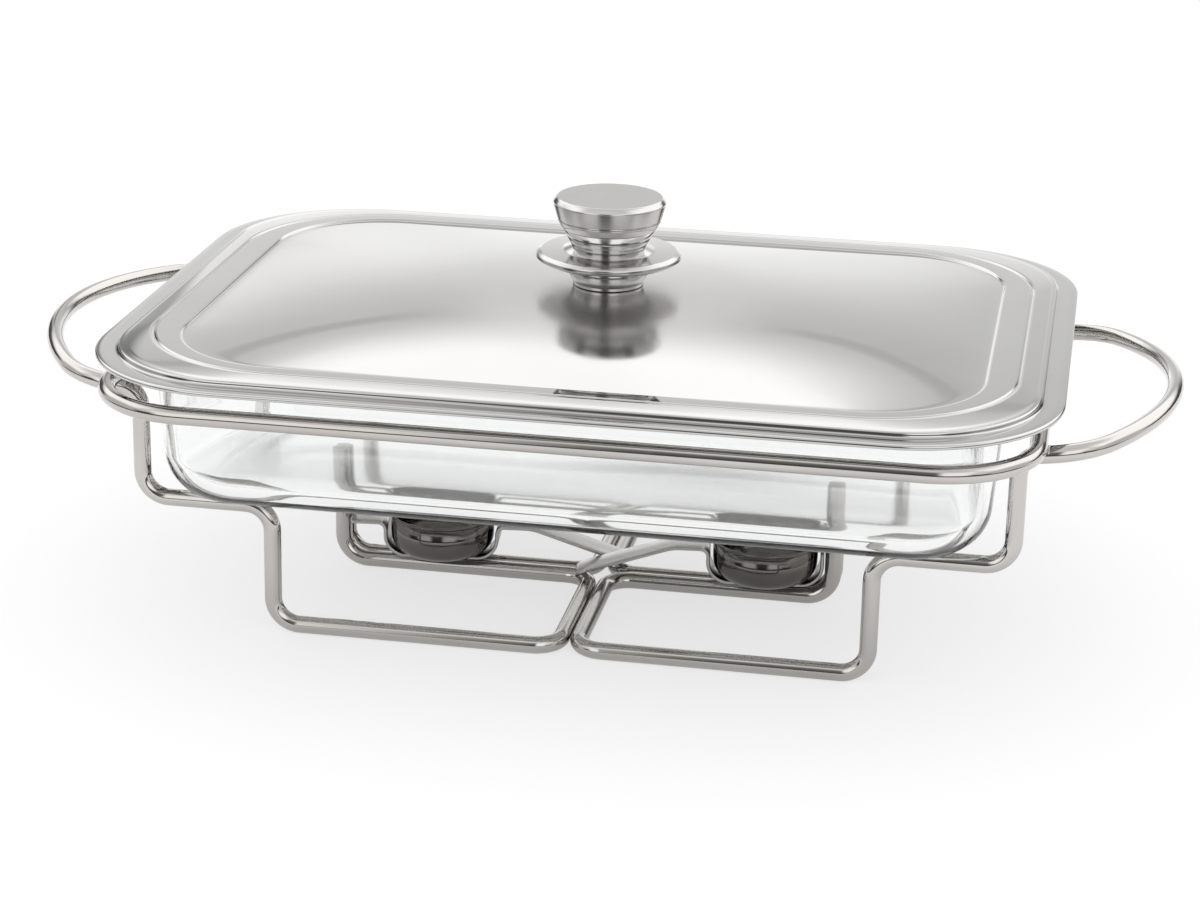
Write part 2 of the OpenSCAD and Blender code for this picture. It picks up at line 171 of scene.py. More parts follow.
class Bench:
    """A node tree under construction, of a material or the world."""

    def __init__(self, owner: Material | World) -> None:
        """Clears the owner's tree and starts on it.

        Args:
            owner: What the tree belongs to.
        """
        owner.use_nodes = True
        self.tree = owner.node_tree
        self.tree.nodes.clear()

    def node(self, kind: str, settings: Settings, inputs: Fields, output: str | int = 0) -> Term | None:
        """Adds one node, as add_node does, with Terms as links.

        Args:
            kind: Type of the node.
            settings: Its properties.
            inputs: Values or Terms for its sockets.
            output: The socket that the result wraps.

        Returns:
            The chosen output, or None where the node has none.
        """
        made = add_node(self.tree, kind, settings, {
            key: value.socket if isinstance(value, Term) else value for key, value in inputs.items()})
        return Term(self, made.outputs[output]) if len(made.outputs) else None

    def place(self, kind: str = "Object") -> Term:
        """Coordinates of the surface."""
        return self.node("ShaderNodeTexCoord", {}, {}, kind)

    def ray(self, kind: str) -> Term:
        """1 for light rays of one kind, 0 for all others."""
        return self.node("ShaderNodeLightPath", {}, {}, kind)

    def stretched(self, place: Term, scale: Point3) -> Term:
        """Coordinates times one factor for each axis."""
        return self.node("ShaderNodeMapping", {}, {"Vector": place, "Scale": scale})

    def axes(self, place: Term) -> tuple[Term, Term, Term]:
        """The three parts of a vector."""
        split = self.node("ShaderNodeSeparateXYZ", {}, {0: place}).socket.node
        return tuple(Term(self, socket) for socket in split.outputs)

    def radius(self, place: Term) -> Term:
        """Distance from the vertical axis."""
        x, y, _ = self.axes(place)
        return (x * x + y * y).root()

    def noise(self, place: Term, scale: float, detail: float) -> Term:
        """Noise from 0 to 1, with so many grains in a metre and so many finer layers."""
        return self.node("ShaderNodeTexNoise", {}, {"Vector": place, "Scale": scale, "Detail": detail})

    def blend(self, factor: Term, first: Colour, second: Colour) -> Term:
        """Mixes two colours: a factor of 0 gives the first, 1 the second."""
        inputs = {0: factor, 6: (*first, 1.0), 7: (*second, 1.0)}
        return self.node("ShaderNodeMix", {"data_type": "RGBA"}, inputs, 2)

    def bump(self, height: Term, strength: float, distance: float) -> Term:
        """A normal bumped by a height, of which 1 stands for a distance in metres."""
        fields = {"Strength": strength, "Distance": distance, "Height": height}
        return self.node("ShaderNodeBump", {}, fields)

    def surface(self, fields: Fields) -> None:
        """Ends the tree in a Principled shader with these values or links."""
        shader = self.node("ShaderNodeBsdfPrincipled", {}, fields)
        self.node("ShaderNodeOutputMaterial", {}, {"Surface": shader})


@dataclass(frozen=True)
class Finish(ABC):
    """What a surface is made of. Grains are counted in a metre."""

    name: str

    def material(self) -> Material:
        """Builds the material.

        Returns:
            The material.
        """
        made = bpy.data.materials.new(self.name)
        bench = Bench(made)
        self.paint(bench, bench.place())
        return made

    @abstractmethod
    def paint(self, bench: Bench, place: Term) -> None:
        """Fills the material's tree.

        Args:
            bench: The material's tree.
            place: Object coordinates.
        """


@dataclass(frozen=True)
class PolishedSteel(Finish):
    """Buffed sheet or wire, with a faint haze, fine buffing lines and a rubbed patch round the middle."""

    clean: Colour
    dull: Colour
    roughness: float
    haze: float
    line_stretch: Point3
    line_depth: float
    rubbed: float = 0.0

    CLOUDS, FILMS, PITS = 14.0, 95.0, 900.0
    PATCH = (0.100, 0.036)
    FILM_SHARE, LINE_SHARE = 0.5, 0.4
    BUMP = 0.12

    def paint(self, bench: Bench, place: Term) -> None:
        """Clouds of haze, a film, lines along the buffing and fine pits.

        Args:
            bench: The material's tree.
            place: Object coordinates.
        """
        cloud = bench.noise(place, self.CLOUDS, 4.0)
        film = bench.noise(place, self.FILMS, 5.0).step(0.45, 0.75)
        lines = bench.noise(bench.stretched(place, self.line_stretch), 1.0, 4.0)
        pits = bench.noise(place, self.PITS, 2.0)
        haze = (cloud + film * self.FILM_SHARE + lines * self.LINE_SHARE) * self.haze
        patch = bench.radius(place).step(*self.PATCH)
        bench.surface({
            "Base Color": bench.blend(cloud.step(0.3, 0.75), self.clean, self.dull),
            "Metallic": 1.0,
            "Roughness": self.roughness + haze + patch * self.rubbed,
            "Normal": bench.bump(lines * 0.8 + pits * 0.2, self.BUMP, self.line_depth),
        })


@dataclass(frozen=True)
class TurnedSteel(Finish):
    """Lathe-turned steel: polished flanks, and flat faces with a satin of turning lines."""

    flank: Colour
    face: Colour
    flank_roughness: float
    face_roughness: float
    pitch: float
    satin_above: float

    DRIFTS, SPARKLES = 60.0, 700.0
    SPARKLE_STRETCH = (1.0, 1.0, 0.2)
    LEVEL = (0.93, 0.99)
    FADE = 1 * MM
    BUMP = (0.18, 0.04 * MM)

    def paint(self, bench: Bench, place: Term) -> None:
        """Turning lines and sparkle on level faces above one height, a drift of tone on the flanks.

        Args:
            bench: The material's tree.
            place: Object coordinates.
        """
        height = bench.axes(place)[2]
        drift = bench.noise(place, self.DRIFTS, 3.0)
        lines = (bench.radius(place) * (2 * math.pi / self.pitch) + drift * 2.0).wave()
        upright = bench.axes(bench.node("ShaderNodeNewGeometry", {}, {}, "Normal"))[2]
        facing = upright.step(*self.LEVEL) * height.step(self.satin_above, self.satin_above + self.FADE)
        sparkle = bench.noise(bench.stretched(place, self.SPARKLE_STRETCH), self.SPARKLES, 3.0)
        satin = self.face_roughness + lines * 0.05 + sparkle * 0.06
        bench.surface({
            "Base Color": bench.blend(facing * (0.8 + drift * 0.4), self.flank, self.face),
            "Metallic": 1.0,
            "Roughness": self.flank_roughness + drift * 0.05 + facing * satin,
            "Normal": bench.bump(lines * facing * 0.7 + sparkle * 0.3, *self.BUMP),
        })


@dataclass(frozen=True)
class BurnerSteel(Finish):
    """Dark polished steel with a faint straw tint from the flame; the cup's far darker copy is partly painted
    shade.
    """

    cold: Colour
    tinted: Colour
    roughness: float

    CLOUDS, STAINS = 38.0, 160.0
    LINE_STRETCH = (60.0, 60.0, 1500.0)
    BUMP = (0.12, 0.04 * MM)

    def paint(self, bench: Bench, place: Term) -> None:
        """Clouds of tint, stains and drawing lines.

        Args:
            bench: The material's tree.
            place: Object coordinates.
        """
        cloud = bench.noise(place, self.CLOUDS, 4.0)
        stains = bench.noise(place, self.STAINS, 6.0).step(0.5, 0.72)
        lines = bench.noise(bench.stretched(place, self.LINE_STRETCH), 1.0, 3.0)
        bench.surface({
            "Base Color": bench.blend(cloud.step(0.35, 0.8), self.cold, self.tinted),
            "Metallic": 1.0,
            "Roughness": self.roughness + cloud * 0.08 + stains * 0.05,
            "Normal": bench.bump(lines * 0.7 + stains * 0.3, *self.BUMP),
        })


@dataclass(frozen=True)
class CastGlass(Finish):
    """Clear pressed glass, faintly wavy, with a stippled base and a cool tint along its thick edges."""

    tint: Colour
    film: Colour
    depth_tint: Colour
    density: float
    ior: float
    stipple: float
    base_top: float

    SMEARS, GRAINS = 70.0, 420.0
    WAVE_STRETCH = (9.0, 9.0, 30.0)
    FADE = 3 * MM
    BUMP = (0.10, 1.2 * MM)

    def paint(self, bench: Bench, place: Term) -> None:
        """Waves, smears and the stippled base, over an absorbing depth.

        Args:
            bench: The material's tree.
            place: Object coordinates.
        """
        waves = bench.noise(bench.stretched(place, self.WAVE_STRETCH), 1.0, 2.0)
        smears = bench.noise(place, self.SMEARS, 5.0).step(0.55, 0.85)
        base = bench.axes(place)[2].step(self.base_top + self.FADE, self.base_top)
        grains = bench.noise(place, self.GRAINS, 3.0)
        shader = bench.node("ShaderNodeBsdfPrincipled", {}, {
            "Base Color": bench.blend(smears, self.tint, self.film),
            "Metallic": 0.0,
            "Roughness": smears * 0.03 + base * (self.stipple + grains * 0.04),
            "IOR": self.ior,
            "Transmission Weight": 1.0,
            "Normal": bench.bump(waves, *self.BUMP),
        })
        inside = {"Color": (*self.depth_tint, 1.0), "Density": self.density}
        depth = bench.node("ShaderNodeVolumeAbsorption", {}, inside)
        bench.node("ShaderNodeOutputMaterial", {}, {"Surface": shader, "Volume": depth})


@dataclass(frozen=True)
class PaleFloor(Finish):
    """White paper that stays white to the eye and keeps a light shadow."""

    paper: Colour
    fibre: Colour
    glow: float
    through_glow: float
    mirrored_glow: float
    far: float

    FIBRES = 260.0
    FAR = (0.45, 1.0)
    FRONT = (0.6, 0.1)

    def paint(self, bench: Bench, place: Term) -> None:
        """Paper that glows as each kind of ray needs it, and is dim where metal mirrors it far away.

        Args:
            bench: The material's tree.
            place: Object coordinates.
        """
        tone = bench.blend(bench.noise(place, self.FIBRES, 5.0), self.paper, self.fibre)
        plain = bench.node("ShaderNodeBsdfDiffuse", {}, {"Color": tone})
        through = bench.ray("Is Transmission Ray")
        mirrored = bench.ray("Is Glossy Ray") * (1.0 - through)
        away = bench.radius(place).step(*self.FAR) * bench.axes(place)[1].step(*self.FRONT)
        shine = bench.blend(mirrored * away, (1.0, 1.0, 1.0), (self.far, self.far, self.far))
        glow = bench.node("ShaderNodeEmission", {}, {"Color": shine, "Strength": 1.0})
        lift = (bench.ray("Is Camera Ray") * self.glow + through * self.through_glow
                + mirrored * away.largest(self.mirrored_glow))
        shader = bench.node("ShaderNodeMixShader", {}, {0: lift, 1: plain, 2: glow})
        bench.node("ShaderNodeOutputMaterial", {}, {"Surface": shader})


def node_box(node: str) -> tuple[Vector, Vector]:
    """Lowest and highest corner of a CAD node's box, in millimetres."""
    low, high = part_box(node)
    return Vector(low) / MM, Vector(high) / MM


def keep_mesh(bm: BMesh, name: str, material: Material) -> Object:
    """Turns a finished bmesh into a smooth piece at the origin.

    Args:
        bm: The mesh, in metres.
        name: The piece's name.
        material: Its finish.

    Returns:
        The piece, linked to the scene.
    """
    bmesh.ops.remove_doubles(bm, verts=bm.verts, dist=1e-7)
    bmesh.ops.recalc_face_normals(bm, faces=bm.faces)
    mesh = bpy.data.meshes.new(name)
    bm.to_mesh(mesh)
    bm.free()
    mesh.polygons.foreach_set("use_smooth", [True] * len(mesh.polygons))
    mesh.materials.append(material)
    piece = bpy.data.objects.new(name, mesh)
    bpy.context.scene.collection.objects.link(piece)
    return piece


def settle(piece: Object, body: Body, slot: Slot, *nodes: str) -> None:
    """Puts a piece on its body, in place of CAD nodes.

    Args:
        piece: The piece.
        body: What it rides on.
        slot: The record's material slot; not used.
        *nodes: The CAD nodes that it stands for.
    """
    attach(piece, body.value)
    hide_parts(*nodes)
    log.info("%s: %d faces on %s", piece.name, len(piece.data.polygons), body.value)


def soften(corners: Sequence[Point3], steps: int) -> list[Point2]:
    """Rounds the corners of an open profile.

    Args:
        corners: Points as (across, up, rounding radius).
        steps: Chords in each rounded corner.

    Returns:
        The points of the softened profile.
    """
    points = [Vector(c[:2]) for c in corners]
    result: list[Point2] = [tuple(points[0])]
    for before, here, after, (_, _, radius) in zip(points, points[1:], points[2:], corners[1:]):
        u = (here - before).normalized()
        v = (after - here).normalized()
        turn = u.angle_signed(v)
        if radius <= 0 or abs(turn) < 1e-4:
            result.append(tuple(here))
            continue
        start = here - u * radius * math.tan(abs(turn) / 2)
        side = -math.copysign(1.0, turn)
        centre = start + Vector((-u.y, u.x)) * radius * side
        spoke = start - centre
        for i in range(steps + 1):
            result.append(tuple(centre + Matrix.Rotation(-turn * i / steps, 2) @ spoke))
    result.append(tuple(points[-1]))
    return result


def shares(count: int, first: int = 1) -> list[float]:
    """Equal steps from first / count to 1."""
    return [i / count for i in range(first, count + 1)]


@dataclass(frozen=True)
class Outline:
    """A rounded rectangle seen from above, in millimetres."""

    half_x: float
    half_y: float
    corner: float

    END_STEPS, ARC_STEPS, SIDE_STEPS = 12, 22, 16

    def inset(self, by: float) -> Outline:
        """The outline moved inwards all round."""
        return Outline(self.half_x - by, self.half_y - by, max(self.corner - by, 0.5))

    def towards(self, other: Outline, share: float) -> Outline:
        """The outline a share of the way, from 0 to 1, to another."""
        return Outline(*(a + (b - a) * share for a, b in (
            (self.half_x, other.half_x), (self.half_y, other.half_y), (self.corner, other.corner))))

    def within(self, bands: Point2, corner: float) -> Outline:
        """An outline inside this one, by one band at the ends and another along the sides."""
        return Outline(self.half_x - bands[0], self.half_y - bands[1], corner)

    def points(self) -> list[Point2]:
        """Points round the outline, from +X towards +Y.

        Returns:
            The points, as many for every outline.
        """
        cx, cy = self.half_x - self.corner, self.half_y - self.corner
        quarter = [(self.half_x, cy * i / self.END_STEPS) for i in range(self.END_STEPS)]
        for i in range(self.ARC_STEPS):
            angle = math.pi / 2 * i / self.ARC_STEPS
            quarter.append((cx + self.corner * math.cos(angle), cy + self.corner * math.sin(angle)))
        quarter += [(cx * (1 - i / self.SIDE_STEPS), self.half_y) for i in range(self.SIDE_STEPS + 1)]
        back = quarter[::-1]
        return (quarter[:-1] + [(-x, y) for x, y in back[:-1]]
                + [(-x, -y) for x, y in quarter[:-1]] + [(x, -y) for x, y in back[:-1]])


Row = tuple[Outline, float]


class RingLoft:
    """Stacks closed rings of equal count into one mesh, in millimetres."""

    def __init__(self) -> None:
        """Starts an empty loft."""
        self.bm = bmesh.new()
        self.first: list[BMVert] = []
        self.last: list[BMVert] = []

    def ring(self, points: Iterable[Sequence[float]]) -> None:
        """Adds a ring and joins it to the one before.

        Args:
            points: Its points as (x, y, z).
        """
        verts = [self.bm.verts.new(Vector(p) * MM) for p in points]
        if self.last:
            self._join(self.last, verts)
        else:
            self.first = verts
        self.last = verts

    def level(self, outline: Outline, z: float) -> None:
        """Adds an outline as a level ring at height z."""
        self.ring((x, y, z) for x, y in outline.points())

    def _join(self, lower: list[BMVert], upper: list[BMVert]) -> None:
        """Spans two rings with faces.

        Args:
            lower: The earlier ring.
            upper: The later one.
        """
        count = len(lower)
        for i in range(count):
            j = (i + 1) % count
            self.bm.faces.new((lower[i], lower[j], upper[j], upper[i]))

    def close_round(self) -> None:
        """Joins the last ring to the first."""
        self._join(self.last, self.first)

    def cap(self) -> None:
        """Closes the first and last rings with flat faces."""
        self.bm.faces.new(self.first[::-1])
        self.bm.faces.new(self.last)


def lathe(name: str, profile: Sequence[Point2], material: Material,
          centre: Point2 = (0.0, 0.0), around: int = 160) -> Object:
    """Turns a profile about a vertical axis.

    Args:
        name: The piece's name.
        profile: Points (radius, height) in millimetres; it starts and ends on the axis.
        material: Its finish.
        centre: Where the axis stands, in millimetres.
        around: Number of points round the axis.

    Returns:
        The turned piece.
    """
    bm = bmesh.new()
    rings: list[list[BMVert]] = []
    for radius, z in profile:
        count = 1 if radius < 1e-6 else around
        rings.append([bm.verts.new(Vector((
            centre[0] + radius * math.cos(2 * math.pi * i / count),
            centre[1] + radius * math.sin(2 * math.pi * i / count), z)) * MM) for i in range(count)])
    for low, high in zip(rings, rings[1:]):
        for i in range(around):
            j = (i + 1) % around
            corners = [low[i % len(low)], low[j % len(low)], high[j % len(high)], high[i % len(high)]]
            bm.faces.new(list(dict.fromkeys(corners)))
    return keep_mesh(bm, name, material)


@dataclass
class LidPressing:
    """The stepped lid: lip, rim, two low steps, a groove and a pillow dome. Sizes in millimetres."""

    wall: float = 1.0
    rim_band: float = 7.5
    lip: float = 1.8
    step1_height: float = 1.9
    step1_run: float = 1.6
    band2: Point2 = (7.7, 8.4)
    step2_corner: float = 57.0
    step2_height: float = 0.9
    step2_run: float = 1.2
    band2_rise: float = 0.85
    band2_power: float = 0.85
    step2_valley: float = 0.35
    band3: Point2 = (10.4, 6.5)
    groove_corner: float = 45.0
    groove_width: float = 1.6
    groove_depth: float = 0.8
    groove_share: float = 1.6
    rim_corner: float = 59.5
    lip_round: float = 0.9
    lip_break: Point2 = (0.5, 0.15)
    sag: float = 0.05
    run_out: float = 0.7
    groove_lead: float = 0.6
    hole: float = 2.75
    dome_rings: int = 44
    dome_powers: Point2 = (1.9, 2.0)
    foot_fade: int = 8

    LIP_ROWS = 4

    def __post_init__(self) -> None:
        """Takes the overall size and levels from the CAD node."""
        low, high = node_box("lid_shell")
        self.low_z = low.z
        self.top_z = high.z
        self.rim = Outline((high.x - low.x) / 2, (high.y - low.y) / 2, self.rim_corner)
        self.rim_z = self.low_z + self.lip
        self.band2_z = self.rim_z + self.step1_height
        self.band3_z = self.band2_z + self.step2_height
        self.foot1 = self.rim.inset(self.rim_band)
        self.head1 = self.foot1.inset(self.step1_run)
        self.foot2 = self.head1.within(self.band2, self.step2_corner)
        self.head2 = self.foot2.inset(self.step2_run)
        self.groove = self.head2.within(self.band3, self.groove_corner)
        self.dome = self.groove.inset(self.groove_width)

    def section(self) -> list[Row]:
        """The outside of the sheet.

        Returns:
            Outlines and heights, from the lip's edge in to the foot of the dome.
        """
        edge, fine = self.lip_break
        rows = [(self.rim.inset(edge), self.low_z), (self.rim.inset(fine), self.low_z + fine),
                (self.rim, self.low_z + edge), (self.rim, self.rim_z - self.lip_round)]
        for share in shares(6):
            angle = math.pi / 2 * share
            rows.append((self.rim.inset(self.lip_round * (1 - math.cos(angle))),
                         self.rim_z - self.lip_round * (1 - math.sin(angle))))
        rows.append((self.rim.towards(self.foot1, 0.5), self.rim_z - self.sag))
        rows += self._riser(self.foot1, self.head1, self.rim_z, self.step1_height)
        for share in shares(8):
            rows.append((self.head1.towards(self.foot2, share),
                         self.band2_z + self.band2_rise * share ** self.band2_power))
        for share in shares(12):
            climb = self.band2_rise + (self.step2_height - self.band2_rise) * share
            rows.append((self.foot2.towards(self.head2, share),
                         self.band2_z + climb - self.step2_valley * math.sin(math.pi * share)))
        rows.append((self.head2.inset(edge), self.band3_z))
        rows.append((self.head2.towards(self.groove, 0.5), self.band3_z + self.sag))
        rows.append((self.groove.inset(-self.groove_lead), self.band3_z))
        for share in shares(8, 0):
            sink = math.sin(math.pi / 2 * min(1.0, share * self.groove_share))
            rows.append((self.groove.towards(self.dome, share), self.band3_z - self.groove_depth * sink))
        return rows

    def _riser(self, foot: Outline, head: Outline, z: float, height: float) -> list[Row]:
        """A step of two quarter rounds, which leaves one flat upright and meets the next without an edge.

        Args:
            foot: Its outline at the lower flat.
            head: Its outline at the upper flat.
            z: Height of the lower flat.
            height: Rise of the step.

        Returns:
            Outlines and heights.
        """
        turns = [math.pi / 2 * share for share in shares(8, 0)]
        lower = [(math.sin(turn) / 2, (1 - math.cos(turn)) / 2) for turn in turns[:-1]]
        upper = [(1 - math.cos(turn) / 2, (1 + math.sin(turn)) / 2) for turn in turns]
        rows = [(foot.towards(head, share), z + height * rise) for share, rise in lower + upper]
        return [(foot.inset(-self.run_out), z), *rows, (head.inset(self.run_out), z + height)]

    def _pillow(self, x: float, y: float) -> float:
        """Share of the dome's rise at a place: 1 in the middle, 0 along the straight sides."""
        ends, sides = self.dome_powers
        return (1 - abs(x / self.dome.half_x) ** ends) * (1 - abs(y / self.dome.half_y) ** sides)

    def dome_ring(self, share: float) -> list[Point3]:
        """A ring of the dome.

        Args:
            share: 0 at the dome's foot, 1 at the screw hole.

        Returns:
            Points on the pillow, which go from the foot's level outline to an oval and a round hole.
        """
        foot_z = self.band3_z - self.groove_depth
        size = 1 - share
        oval = share * share * (3 - 2 * share)
        ring = []
        for x, y in self.dome.points():
            angle = math.atan2(y / self.dome.half_y, x / self.dome.half_x)
            px = size * (x + (self.dome.half_x * math.cos(angle) - x) * oval)
            py = size * (y + (self.dome.half_y * math.sin(angle) - y) * oval)
            direction = math.atan2(y, x)
            px += self.hole * share * math.cos(direction)
            py += self.hole * share * math.sin(direction)
            rise = self._pillow(px, py) - self._pillow(x, y) * size ** self.foot_fade
            ring.append((px, py, foot_z + (self.top_z - foot_z) * rise))
        return ring

    def dress(self, steel: Material) -> None:
        """Lofts the outside and the inside of the sheet.

        Args:
            steel: The lid's finish.
        """
        loft = RingLoft()
        rows = self.section()
        contours = [self.dome_ring(share) for share in shares(self.dome_rings)]
        for outline, z in rows:
            loft.level(outline, z)
        for ring in contours:
            loft.ring(ring)
        for ring in reversed(contours[::2] + [contours[-1]]):
            loft.ring((x, y, z - self.wall) for x, y, z in ring)
        for outline, z in reversed(rows[self.LIP_ROWS:]):
            loft.level(outline.inset(self.wall), z - self.wall)
        edge, fine = self.lip_break
        loft.level(self.rim.inset(self.wall), self.low_z + edge)
        loft.level(self.rim.inset(self.wall - fine), self.low_z + fine)
        loft.close_round()
        settle(keep_mesh(loft.bm, "lid_pressing", steel), Body.LID, Slot.LID, "lid_shell")


@dataclass
class TurnedKnob:
    """The knob's turned pieces, one above the other. Sizes in millimetres."""

    cap_foot_r: float = 19.9
    cap_bevel: float = 2.0
    collar_foot_r: float = 18.15
    groove: float = 0.7
    cone_foot_r: float = 14.0
    crown: float = 1.8
    neck_foot_r: float = 13.5
    foot_share: float = 0.125
    edge: float = 0.3

    @staticmethod
    def levels(node: str) -> tuple[float, float, float]:
        """A turned node's widest radius, lowest and highest height."""
        low, high = node_box(node)
        return (high.x - low.x) / 2, low.z, high.z

    def cap(self, r: float, z0: float, z1: float) -> list[Point3]:
        """Cap that widens to a rounded bevel and a flat top."""
        b = self.cap_bevel
        return [(self.cap_foot_r, z0, self.edge), (r, z1 - b, 0.9), (r - 0.75 * b, z1, 1.4)]

    def collar(self, r: float, z0: float, z1: float) -> list[Point3]:
        """Collar that goes on with the cone's flare and ends in a fine groove."""
        g = self.groove
        return [(self.collar_foot_r, z0, 0.2), (r, z1 - g, 0.25), (r - g, z1 - g, 0.1), (r - g, z1, 0)]

    def cone(self, r: float, z0: float, z1: float) -> list[Point3]:
        """Grip cone that narrows down to the disc."""
        return [(self.cone_foot_r, z0, self.edge), (r, z1, 0)]

    def disc(self, r: float, z0: float, z1: float) -> list[Point3]:
        """Guard disc with a rounded edge, a fine lower bead and a crowned top."""
        top = z1 - self.crown
        return [(r - 2.0, z0, 1.0), (r - 0.5, z0 + 0.8, 0.3), (r - 0.3, z0 + 1.1, 0.15), (r, z0 + 1.3, 0.3),
                (r, top - 0.9, 0.9), (r - 1.8, top, 1.2), (self.cone_foot_r + 3.5, top + 0.3, 4.0),
                (self.cone_foot_r, z1, 0.2)]

    def neck(self, r: float, z0: float, z1: float) -> list[Point3]:
        """Neck that narrows from the disc down to its foot on the dome."""
        foot = z0 + self.foot_share * (z1 - z0)
        return [(self.neck_foot_r, z0, self.edge), (self.neck_foot_r, foot, 0.4), (r, z1, 0)]

    def dress(self, steel: Material) -> None:
        """Turns the pieces and finishes the fixing under the lid.

        Args:
            steel: The knob's finish.
        """
        profiles = {
            "knob_cap": (self.cap, 10), "knob_collar": (self.collar, 6), "knob_cone": (self.cone, 6),
            "knob_disc": (self.disc, 8), "knob_neck": (self.neck, 6)}
        for node, (profile, steps) in profiles.items():
            r, z0, z1 = self.levels(node)
            points = soften([(0, z0, 0), *profile(r, z0, z1), (0, z1, 0)], steps)
            settle(lathe("turned_" + node, points, steel), Body.LID, Slot.KNOB, node)
        for node in ("knob_washer", "knob_screw"):
            for material_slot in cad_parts[node].material_slots:
                material_slot.material = steel


@dataclass
class GlassDish:
    """The pressed glass dish with its flange. Sizes in millimetres."""

    length: float = 312.0
    width: float = 207.0
    corner: float = 33.5
    lean: float = 4.0
    fillet: float = 17.0
    wall: float = 4.5
    floor: float = 5.5
    flange: float = 4.0
    flange_corner: float = 48.6
    mouth: Point2 = (1.2, 0.3)

    def __post_init__(self) -> None:
        """Takes the flange and the levels from the CAD node."""
        low, high = node_box("glass_dish")
        self.low_z, self.top_z = low.z, high.z
        self.brim = Outline((high.x - low.x) / 2, (high.y - low.y) / 2, self.flange_corner)
        self.body = Outline(self.length / 2, self.width / 2, self.corner)

    def _bowl(self, wall: float, low: float, high: float, fillet: float) -> list[Row]:
        """One skin of the bowl from its flat floor up the leaning wall.

        Args:
            wall: How far the skin lies inside the outer wall.
            low: Height of the floor.
            high: Height of its upper edge.
            fillet: Radius between floor and wall.

        Returns:
            Outlines and heights.
        """
        top = self.corner - wall
        side = soften([(0, low, 0), (top - self.lean, low, fillet), (top, high, 0)], 14)
        return [(self.body.inset(self.corner - r), z) for r, z in side[1:]]

    def dress(self, glass: Material) -> None:
        """Lofts the outside, the flange and the inside.

        Args:
            glass: The dish's finish.
        """
        loft = RingLoft()
        under = self.top_z - self.flange
        half = self.flange / 2
        for outline, z in self._bowl(0.0, self.low_z, under, self.fillet):
            loft.level(outline, z)
        loft.level(self.brim.inset(half), under)
        for share in shares(12):
            angle = math.pi * share
            loft.level(self.brim.inset(half - half * math.sin(angle)),
                       under + half - half * math.cos(angle))
        inside = self._bowl(self.wall, self.low_z + self.floor, self.top_z, self.fillet - self.wall)
        wide, fine = self.mouth
        loft.level(inside[-1][0].inset(-wide), self.top_z)
        loft.level(inside[-1][0].inset(-fine), self.top_z - fine)
        for outline, z in reversed(inside[:-1]):
            loft.level(outline, z)
        loft.cap()
        settle(keep_mesh(loft.bm, "pressed_glass", glass), Body.DISH, Slot.GLASS, "glass_dish")


class WireBender:
    """Bends wires along corner points with Geometry Nodes."""

    BEND = "bend"
    CORNER_STEPS, ROUND_STEPS = 22, 32

    def __init__(self, steel: Material) -> None:
        """Builds the tree that rounds a path's corners and sweeps a round section along it.

        Args:
            steel: The wires' finish.
        """
        self.tree = bpy.data.node_groups.new("bent_wire", "GeometryNodeTree")
        for name, kind in (("Path", "NodeSocketGeometry"), ("Wire Radius", "NodeSocketFloat"),
                           ("Corner Steps", "NodeSocketInt"), ("Round Steps", "NodeSocketInt")):
            self.tree.interface.new_socket(name, in_out="INPUT", socket_type=kind)
        self.tree.interface.new_socket("Wire", in_out="OUTPUT", socket_type="NodeSocketGeometry")
        given = self.tree.nodes.new("NodeGroupInput").outputs
        path = self._step("MeshToCurve", {}, {"Mesh": given["Path"]})
        bend = self._step("InputNamedAttribute", {"data_type": "FLOAT"}, {"Name": self.BEND})
        path = self._step("FilletCurve", {"mode": "POLY"}, {
            "Curve": path, "Count": given["Corner Steps"], "Radius": bend})
        section = self._step("CurvePrimitiveCircle", {"mode": "RADIUS"}, {
            "Resolution": given["Round Steps"], "Radius": given["Wire Radius"]})
        wire = self._step("CurveToMesh", {}, {"Curve": path, "Profile Curve": section, "Fill Caps": True})
        wire = self._step("SetShadeSmooth", {}, {"Geometry": wire})
        wire = self._step("RealizeInstances", {}, {"Geometry": wire})
        wire = self._step("SetMaterial", {}, {"Geometry": wire, "Material": steel})
        self.tree.links.new(wire, self.tree.nodes.new("NodeGroupOutput").inputs[0])
        self.steel = steel

    def _step(self, kind: str, settings: Settings, inputs: Fields) -> NodeSocket:
        """Adds a geometry node and gives its first output."""
        return add_node(self.tree, "GeometryNode" + kind, settings, inputs).outputs[0]

    def bend(self, name: str, corners: Sequence[Bend], diameter: float, closed: bool = False) -> Object:
        """Bends one wire.

        Args:
            name: The piece's name.
            corners: Corner points in millimetres, each with its bend radius.
            diameter: Diameter of the wire, in millimetres.
            closed: Whether the path is a closed loop.

        Returns:
            The wire as a plain mesh.
        """
        count = len(corners)
        edges = [(i, i + 1) for i in range(count - 1)] + ([(count - 1, 0)] if closed else [])
        path = bpy.data.meshes.new(name + "_path")
        path.from_pydata([point * MM for point, _ in corners], edges, [])
        radii = path.attributes.new(self.BEND, "FLOAT", "POINT")
        for item, (_, radius) in zip(radii.data, corners):
            item.value = radius * MM
        source = bpy.data.objects.new(name + "_path", path)
        bpy.context.scene.collection.objects.link(source)
        modifier = source.modifiers.new("bent_wire", "NODES")
        modifier.node_group = self.tree
        values = {"Wire Radius": diameter / 2 * MM, "Corner Steps": self.CORNER_STEPS,
                  "Round Steps": self.ROUND_STEPS}
        for item in self.tree.interface.items_tree:
            if item.in_out == "INPUT" and item.name in values:
                modifier[item.identifier] = values[item.name]
        bm = bmesh.new()
        bm.from_object(source, bpy.context.evaluated_depsgraph_get())
        bpy.data.objects.remove(source)
        bpy.data.meshes.remove(path)
        return keep_mesh(bm, name, self.steel)


